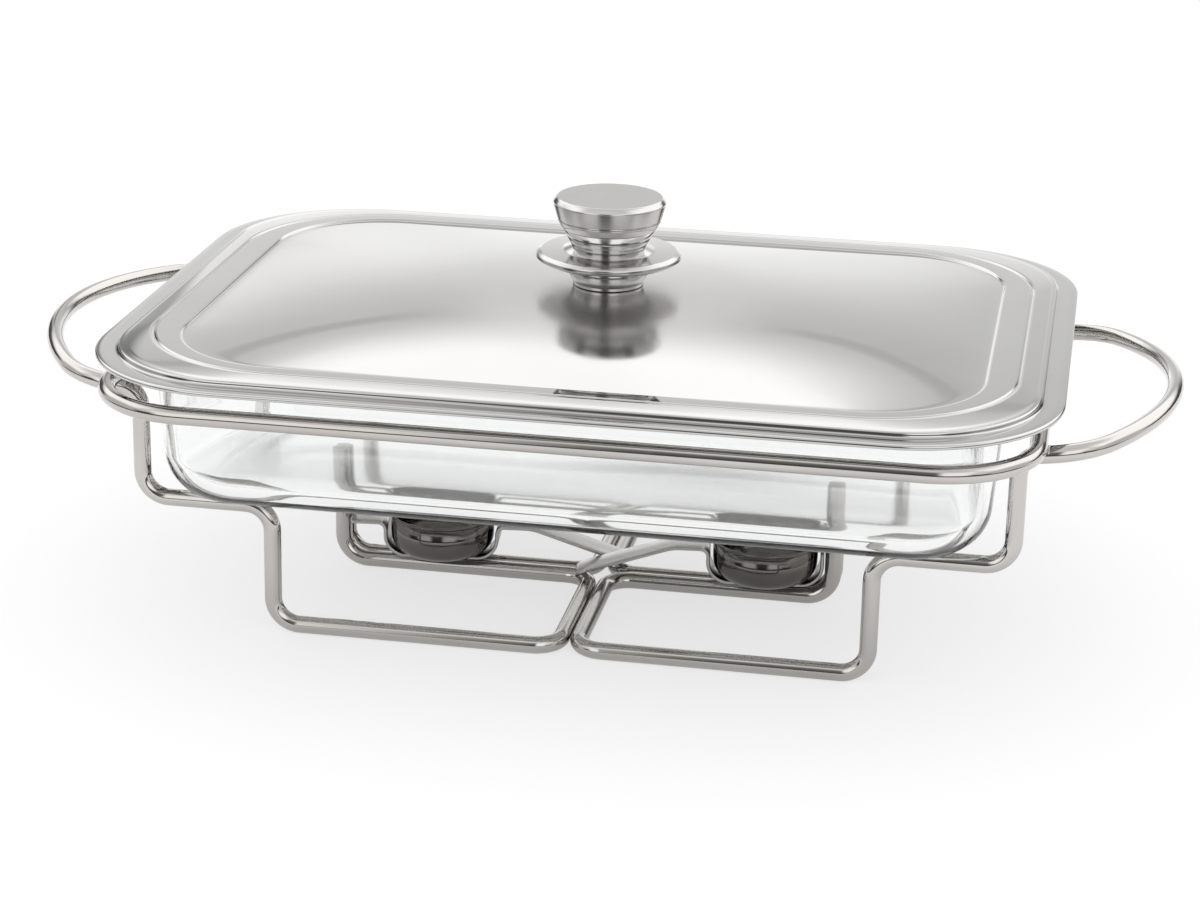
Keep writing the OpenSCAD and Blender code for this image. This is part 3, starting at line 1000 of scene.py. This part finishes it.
@dataclass
class WireStand:
    """The stand: a ring round the dish, and one length of bent wire on each side. Sizes in millimetres."""

    wire: float = 6.5
    gap: float = 0.1
    seat: float = 0.4
    leg_y: float = 76.0
    step_x: float = 112.0
    ring_corner: float = 37.0
    root_bend: float = 8.0
    handle_reach: float = 54.0
    handle_corner: float = 28.0
    handle_tilt: float = math.radians(7.0)
    side_slope: Point2 = (0.6, 0.8)
    bow: float = 107.0
    wire_bend: float = 10.0

    def __post_init__(self) -> None:
        """Takes the wires' places from the CAD nodes."""
        low, high = node_box("ring_rail")
        self.ring_half = ((high.x - low.x - self.wire) / 2, (high.y - low.y - self.wire) / 2)
        self.ring_z = (low.z + high.z) / 2
        self.mid_z = node_box("right_front_leg")[0].z + self.wire / 2
        self.leg_x = self.ring_half[0] - self.wire
        self.pair = self.wire / 2 + self.gap
        self.post_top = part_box("glass_dish")[0][2] / MM - self.seat

    def ring(self) -> list[Bend]:
        """Corners of the ring, with their bends."""
        x, y = self.ring_half
        return [(Vector((sx * x, sy * y, self.ring_z)), self.ring_corner)
                for sx, sy in ((1, 1), (-1, 1), (-1, -1), (1, -1))]

    def half_side(self, side: Side, post_x: float) -> list[Bend]:
        """The front half of one side's wire, from its post to the outermost point of the handle.

        Args:
            side: Which side of the stand.
            post_x: Distance of the post from the middle of the length.

        Returns:
            Corner points with their bends.
        """
        floor_z = self.wire / 2
        y = -self.leg_y
        turn = math.pi / 2 - self.handle_tilt
        root_z = self.ring_z - self.wire - self.gap - self.root_bend + self.root_bend * math.tan(turn / 2)
        run, rise = math.cos(self.handle_tilt), math.sin(self.handle_tilt)
        out, along = self.side_slope
        apex_u = self.handle_reach + self.bow * (1 / along - 1)
        corner_u = apex_u - self.leg_y * out / along
        b = self.wire_bend
        path = [(post_x, -self.pair, self.post_top, 0.0), (post_x, -self.pair, floor_z, b),
                (self.pair, -self.pair, floor_z, b), (self.pair, y, floor_z, b),
                (self.step_x, y, floor_z, b), (self.step_x, y, self.mid_z, b),
                (self.leg_x, y, self.mid_z, b), (self.leg_x, y, root_z, self.root_bend),
                (self.leg_x + corner_u * run, y, root_z + corner_u * rise, self.handle_corner),
                (self.leg_x + apex_u * run, 0.0, root_z + apex_u * rise, self.bow)]
        return [(Vector((x * side.value, py, z)), radius) for x, py, z, radius in path]

    def dress(self, bender: WireBender) -> None:
        """Bends the ring and the two side wires.

        Args:
            bender: What bends them.
        """
        ring = bender.bend("ring_wire", self.ring(), self.wire, closed=True)
        settle(ring, Body.STAND, Slot.WIRE, "ring_rail")
        for side in Side:
            name = side.label
            front = self.half_side(side, self._post(name))
            rear = [(Vector((p.x, -p.y, p.z)), radius) for p, radius in reversed(front[:-1])]
            nodes = [f"{name}_{end}_{part}" for end in ("front", "rear") for part in ("leg", "foot")]
            wire = bender.bend(f"{name}_side_wire", front + rear, self.wire)
            settle(wire, Body.STAND, Slot.WIRE, f"{name}_handle", *nodes)

    def _post(self, name: str) -> float:
        """Finds a side's posts by the CAD node's raised inner end.

        Args:
            name: The side.

        Returns:
            Their distance from the middle.
        """
        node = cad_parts[f"{name}_front_foot"]
        places = [(node.matrix_world @ vertex.co) / MM for vertex in node.data.vertices]
        post = [abs(p.x) for p in places if abs(p.y) < self.leg_y / 2 and p.z > self.post_top / 2]
        return (min(post) + max(post)) / 2


@dataclass
class BurnerCradle:
    """A burner cup and the strap that cradles it. Sizes in millimetres."""

    side: Side
    cup_x: float = 64.5
    bore: float = 39.6
    wall: float = 0.6
    fillet: float = 8.0
    bead: float = 1.2
    strap_width: float = 12.5
    strap_thick: float = 1.4
    strap_z: float = 20.5
    shoulder_run: float = 14.0
    slope_bend: float = 20.0
    strap_bend: float = 3.0
    tip: Point2 = (9.0, 8.0)
    tip_round: float = 4.0
    strap_edge: float = 0.45
    seat: float = 0.2
    clearance: float = 0.05
    stride: float = 0.8

    ROLL_START, ROLL_TURN, ROLL_STEPS = -120, 300, 16

    def cup_profile(self) -> list[Point2]:
        """Profile of the pressed cup with its rolled rim.

        Returns:
            Points (radius, height).
        """
        low, high = node_box(f"{self.side.label}_cup")
        z0, z1 = low.z, high.z
        inner = self.bore / 2
        outer = inner + self.wall
        rim = (high.x - low.x) / 2
        roll = self.bead / 2
        inside = self.fillet - self.wall
        outside = soften([(0, z0, 0), (outer, z0, self.fillet), (outer, z1 - self.bead, 0)], 14)
        turns = [self.ROLL_START + self.ROLL_TURN * share for share in shares(self.ROLL_STEPS, 0)]
        lip = [(rim - roll + roll * math.cos(a), z1 - roll + roll * math.sin(a))
               for a in map(math.radians, turns)]
        floor = z0 + self.wall
        inwards = soften([(inner, z1 - self.bead, 0), (inner, floor, inside), (0, floor, 0)], 14)
        return outside + lip + inwards

    def strap_line(self) -> list[Point2]:
        """Middle line of the strap.

        Returns:
            Points (along, up), from its tip to its outer end.
        """
        half = self.strap_thick / 2
        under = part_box(f"{self.side.label}_strap")[0][2] / MM + half
        arm = self.bore / 2 + self.clearance + self.bead + 2 * self.seat + half
        reach = math.hypot(self.cup_x + self.tip[0], self.tip[1])
        corners = [(-reach, under + half, 0.0), (-arm - self.shoulder_run, self.strap_z, self.slope_bend),
                   (-arm, self.strap_z, self.strap_bend), (-arm, under, self.fillet),
                   (arm, under, self.fillet), (arm, self.strap_z, 0.0)]
        end = self._end()
        if end > arm + 2 * self.strap_bend:
            corners[-1] = (arm, self.strap_z, self.strap_bend)
            corners.append((end, self.strap_z, 0.0))
        return soften(corners, 10)

    def _yaw(self) -> float:
        """Turn of the strap in plan."""
        return math.atan2(self.tip[1], self.cup_x + self.tip[0])

    def _end(self) -> float:
        """Where the strap ends, from the CAD node.

        Returns:
            Distance from the cup's axis, along the strap.
        """
        low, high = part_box(f"{self.side.label}_strap")
        outer = max(abs(low[0]), abs(high[0])) / MM
        return (outer - self.cup_x - self.strap_width / 2 * math.sin(self._yaw())) / math.cos(self._yaw())

    def _section(self, half: float) -> list[Point2]:
        """Cross-section of the strap, with rounded edges.

        Args:
            half: Half of its width.

        Returns:
            Points (across, up).
        """
        t = self.strap_thick / 2
        edge = self.strap_edge
        ring = []
        for sx, sz, start in ((1, 1, 0), (-1, 1, 90), (-1, -1, 180), (1, -1, 270)):
            for i in range(5):
                a = math.radians(start + 90 * i / 4)
                ring.append((sx * (half - edge) + edge * math.cos(a), sz * (t - edge) + edge * math.sin(a)))
        return ring

    def build_strap(self, steel: Material) -> Object:
        """Sweeps the strap's section along its line.

        Args:
            steel: The strap's finish.

        Returns:
            The strap.
        """
        line = [Vector(p) for p in self.strap_line()]
        dense = []
        for a, b in zip(line, line[1:]):
            pieces = max(1, int((b - a).length / self.stride))
            dense += [a.lerp(b, i / pieces) for i in range(pieces)]
        dense.append(line[-1])
        turn = self._yaw() + (math.pi if self.side is Side.LEFT else 0.0)
        along = Vector((math.cos(turn), math.sin(turn), 0.0))
        across = Vector((-math.sin(turn), math.cos(turn), 0.0))
        centre = Vector((self.side.value * self.cup_x, 0.0, 0.0))
        loft = RingLoft()
        walked = 0.0
        for i, p in enumerate(dense):
            tangent = (dense[min(i + 1, len(dense) - 1)] - dense[max(i - 1, 0)]).normalized()
            normal = Vector((-tangent.y, tangent.x))
            walked += (p - dense[i - 1]).length if i else 0.0
            inside = max(0.0, self.tip_round - walked)
            rounding = math.sqrt(max(self.tip_round ** 2 - inside ** 2, 0.3))
            half = self.strap_width / 2 - self.tip_round + rounding
            loft.ring(centre + along * (p.x + normal.x * n) + across * v
                      + Vector((0, 0, p.y + normal.y * n)) for v, n in self._section(half))
        loft.cap()
        return keep_mesh(loft.bm, f"{self.side.label}_cradle_strap", steel)

    def dress(self, strap_steel: Material, cup_steel: Material) -> None:
        """Builds the cup and the strap and puts them on their bodies.

        Args:
            strap_steel: Finish of the strap.
            cup_steel: Finish of the cup.
        """
        name = self.side.label
        body = Body.RIGHT_BURNER if self.side is Side.RIGHT else Body.LEFT_BURNER
        centre = (self.side.value * self.cup_x, 0.0)
        cup = lathe(f"{name}_burner_cup", self.cup_profile(), cup_steel, centre, 96)
        settle(cup, body, Slot.BURNER, f"{name}_cup")
        settle(self.build_strap(strap_steel), Body.STAND, Slot.BURNER, f"{name}_strap")


@dataclass(frozen=True)
class Region:
    """A part of the studio that polished metal mirrors.

    Edges are soft steps along a named part of the direction that is mirrored: x to the right, y away from the
    camera, z up, side for either x, and arc for a height that grows towards both sides. Changes are added to
    the tone within edges of their own.
    """

    edges: Sequence[Edge]
    tone: float
    changes: Sequence[tuple[float, Sequence[Edge]]] = ()

    @staticmethod
    def mask(edges: Sequence[Edge], parts: Mapping[str, Term]) -> Term:
        """1 within all the edges, 0 outside."""
        return math.prod(parts[name].step(low, high) for name, low, high in edges)

    def over(self, room: Term, parts: Mapping[str, Term]) -> Term:
        """Lays the region over others.

        Args:
            room: Tone of the regions before it.
            parts: Parts of the direction, by name.

        Returns:
            The tone of all of them.
        """
        tone = self.tone
        for gain, edges in self.changes:
            tone = gain * self.mask(edges, parts) + tone
        return room + self.mask(self.edges, parts) * (tone - room)


PANELS = Region((("side", 0.84, 0.93),), 0.75)
SWEEP = Region((("y", -0.1, 0.3), ("x", -0.58, -0.42), ("x", 0.40, 0.14)), 1.15, (
    (-0.33, (("z", 0.12, 0.37),)),
    (-0.13, (("x", -0.12, 0.10),)),
    (-0.55, (("x", -0.343, -0.357), ("x", -0.47, -0.43))),
    (0.32, (("x", -0.22, -0.33), ("z", 0.28, 0.05))),
    (0.24, (("x", -0.05, 0.05), ("z", 0.28, 0.05)))))
CEILING = Region((("arc", 0.395, 0.425), ("y", -0.85, -0.60), ("side", 0.95, 0.80)), 1.7, (
    (-0.7, (("y", -0.15, -0.45),)),
    (-0.75, (("z", 0.68, 0.94), ("y", -0.5, -0.2))),
    (-0.85, (("arc", 0.55, 0.42), ("y", 0.2, 0.5)))))
SOFT_BOXES = Region((("side", 0.13, 0.30), ("side", 0.74, 0.58), ("y", -0.15, -0.3), ("z", 0.02, 0.12),
                     ("z", 0.72, 0.58)), 1.5)
CEILING_LINE: Sequence[Edge] = (("arc", 0.402, 0.410), ("arc", 0.430, 0.420), ("y", 0.2, 0.5))


@dataclass
class Studio:
    """Camera, pale floor and soft light."""

    eye: Point3 = (0.1855, -1.0714, 0.4326)
    right: Point3 = (0.9837, 0.1789, 0.0195)
    ahead: Point3 = (-0.1627, 0.9306, -0.3279)
    lens: float = 88.7
    sensor: float = 36.0
    clip: Point2 = (0.01, 100.0)
    floor_half: float = 6.0
    ambient: float = 1.3
    dim: float = 0.07
    climb: float = 0.30
    arc_slope: float = 0.30
    arc_middle: float = -0.165
    line_fall: float = 0.16

    def camera(self) -> None:
        """Stands the camera where the photograph was taken from."""
        data = bpy.data.cameras.new("photo_view")
        data.sensor_fit = "HORIZONTAL"
        data.sensor_width = self.sensor
        data.lens = self.lens
        data.clip_start, data.clip_end = self.clip
        view = bpy.data.objects.new("photo_view", data)
        back = -Vector(self.ahead).normalized()
        right = Vector(self.right)
        right = (right - back * right.dot(back)).normalized()
        up = back.cross(right)
        turn = Matrix((right, up, back)).transposed().to_4x4()
        view.matrix_world = Matrix.Translation(self.eye) @ turn
        bpy.context.scene.collection.objects.link(view)
        bpy.context.scene.camera = view

    def floor(self, paper: Material) -> None:
        """Lays the floor.

        Args:
            paper: Its finish.
        """
        bm = bmesh.new()
        bmesh.ops.create_grid(bm, x_segments=8, y_segments=8, size=self.floor_half)
        floor = keep_mesh(bm, "pale_floor", paper)

    def light(self) -> None:
        """Surrounds the object with even light, and gives polished metal a studio to mirror."""
        world = bpy.data.worlds.new("soft_studio")
        bpy.context.scene.world = world
        bench = Bench(world)
        x, y, z = bench.axes(bench.place("Generated"))
        arc = z + self.arc_slope * abs(x - self.arc_middle)
        parts = {"x": x, "y": y, "z": z, "side": abs(x), "arc": arc}
        room = self.dim + self.climb * z.largest(0.0)
        for region in (PANELS, SWEEP, CEILING):
            room = region.over(room, parts)
        room = SOFT_BOXES.over(room - self.line_fall * Region.mask(CEILING_LINE, parts), parts)
        strength = self.ambient + bench.ray("Is Glossy Ray") * (room - self.ambient)
        seen = bench.ray("Is Camera Ray").largest(bench.ray("Is Transmission Ray"))
        strength = strength + seen * (1.0 - strength)
        fields = {"Color": (1.0, 1.0, 1.0, 1.0), "Strength": strength}
        bench.node("ShaderNodeOutputWorld", {}, {"Surface": bench.node("ShaderNodeBackground", {}, fields)})

    def build(self, paper: Material) -> None:
        """Sets up camera, floor, light and colour management.

        Args:
            paper: The floor's finish.
        """
        self.camera()
        self.floor(paper)
        self.light()
        bpy.context.scene.view_settings.view_transform = "Standard"
        bpy.context.scene.cycles.caustics_reflective = False
        bpy.context.scene.cycles.caustics_refractive = False


LID_STEEL = PolishedSteel(
    "buffed_lid_steel", clean=(0.56, 0.553, 0.546), dull=(0.53, 0.523, 0.516), roughness=0.015, haze=0.03,
    line_stretch=(14.0, 900.0, 200.0), line_depth=0.02 * MM, rubbed=0.20)
WIRE_STEEL = PolishedSteel(
    "bright_wire_steel", clean=(0.56, 0.542, 0.522), dull=(0.49, 0.472, 0.453), roughness=0.03, haze=0.06,
    line_stretch=(500.0, 500.0, 500.0), line_depth=0.005 * MM)
KNOB_STEEL = TurnedSteel(
    "turned_knob_steel", flank=(0.56, 0.55, 0.54), face=(0.41, 0.402, 0.396), flank_roughness=0.12,
    face_roughness=0.17, pitch=0.5 * MM, satin_above=150 * MM)
STRAP_STEEL = BurnerSteel(
    "satin_strap_steel", cold=(0.52, 0.508, 0.492), tinted=(0.46, 0.445, 0.428), roughness=0.18)
# The cup's base colour is partly painted shade: much darker than the strap's steel, standing in for the dim
# surroundings the cup mirrors under the dish.
CUP_STEEL = BurnerSteel(
    "dark_cup_steel", cold=(0.16, 0.151, 0.143), tinted=(0.12, 0.111, 0.103), roughness=0.04)
GLASS = CastGlass(
    "clear_pressed_glass", tint=(0.985, 0.992, 0.990), film=(0.965, 0.972, 0.970),
    depth_tint=(0.82, 0.92, 0.90), density=0.8, ior=1.47, stipple=0.05,
    base_top=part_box("glass_dish")[0][2] + 7 * MM)
PAPER = PaleFloor(
    "white_paper", paper=(0.96, 0.96, 0.96), fibre=(0.93, 0.93, 0.93), glow=0.72, through_glow=0.94,
    mirrored_glow=0.40, far=0.12)


def main() -> None:
    """Builds the scene, piece by piece."""
    logging.basicConfig(level=logging.INFO, format="%(name)s: %(message)s")
    Studio().build(PAPER.material())
    LidPressing().dress(LID_STEEL.material())
    TurnedKnob().dress(KNOB_STEEL.material())
    GlassDish().dress(GLASS.material())
    WireStand().dress(WireBender(WIRE_STEEL.material()))
    strap_steel, cup_steel = STRAP_STEEL.material(), CUP_STEEL.material()
    for side in Side:
        BurnerCradle(side).dress(strap_steel, cup_steel)


if __name__ == "__main__":
    main()
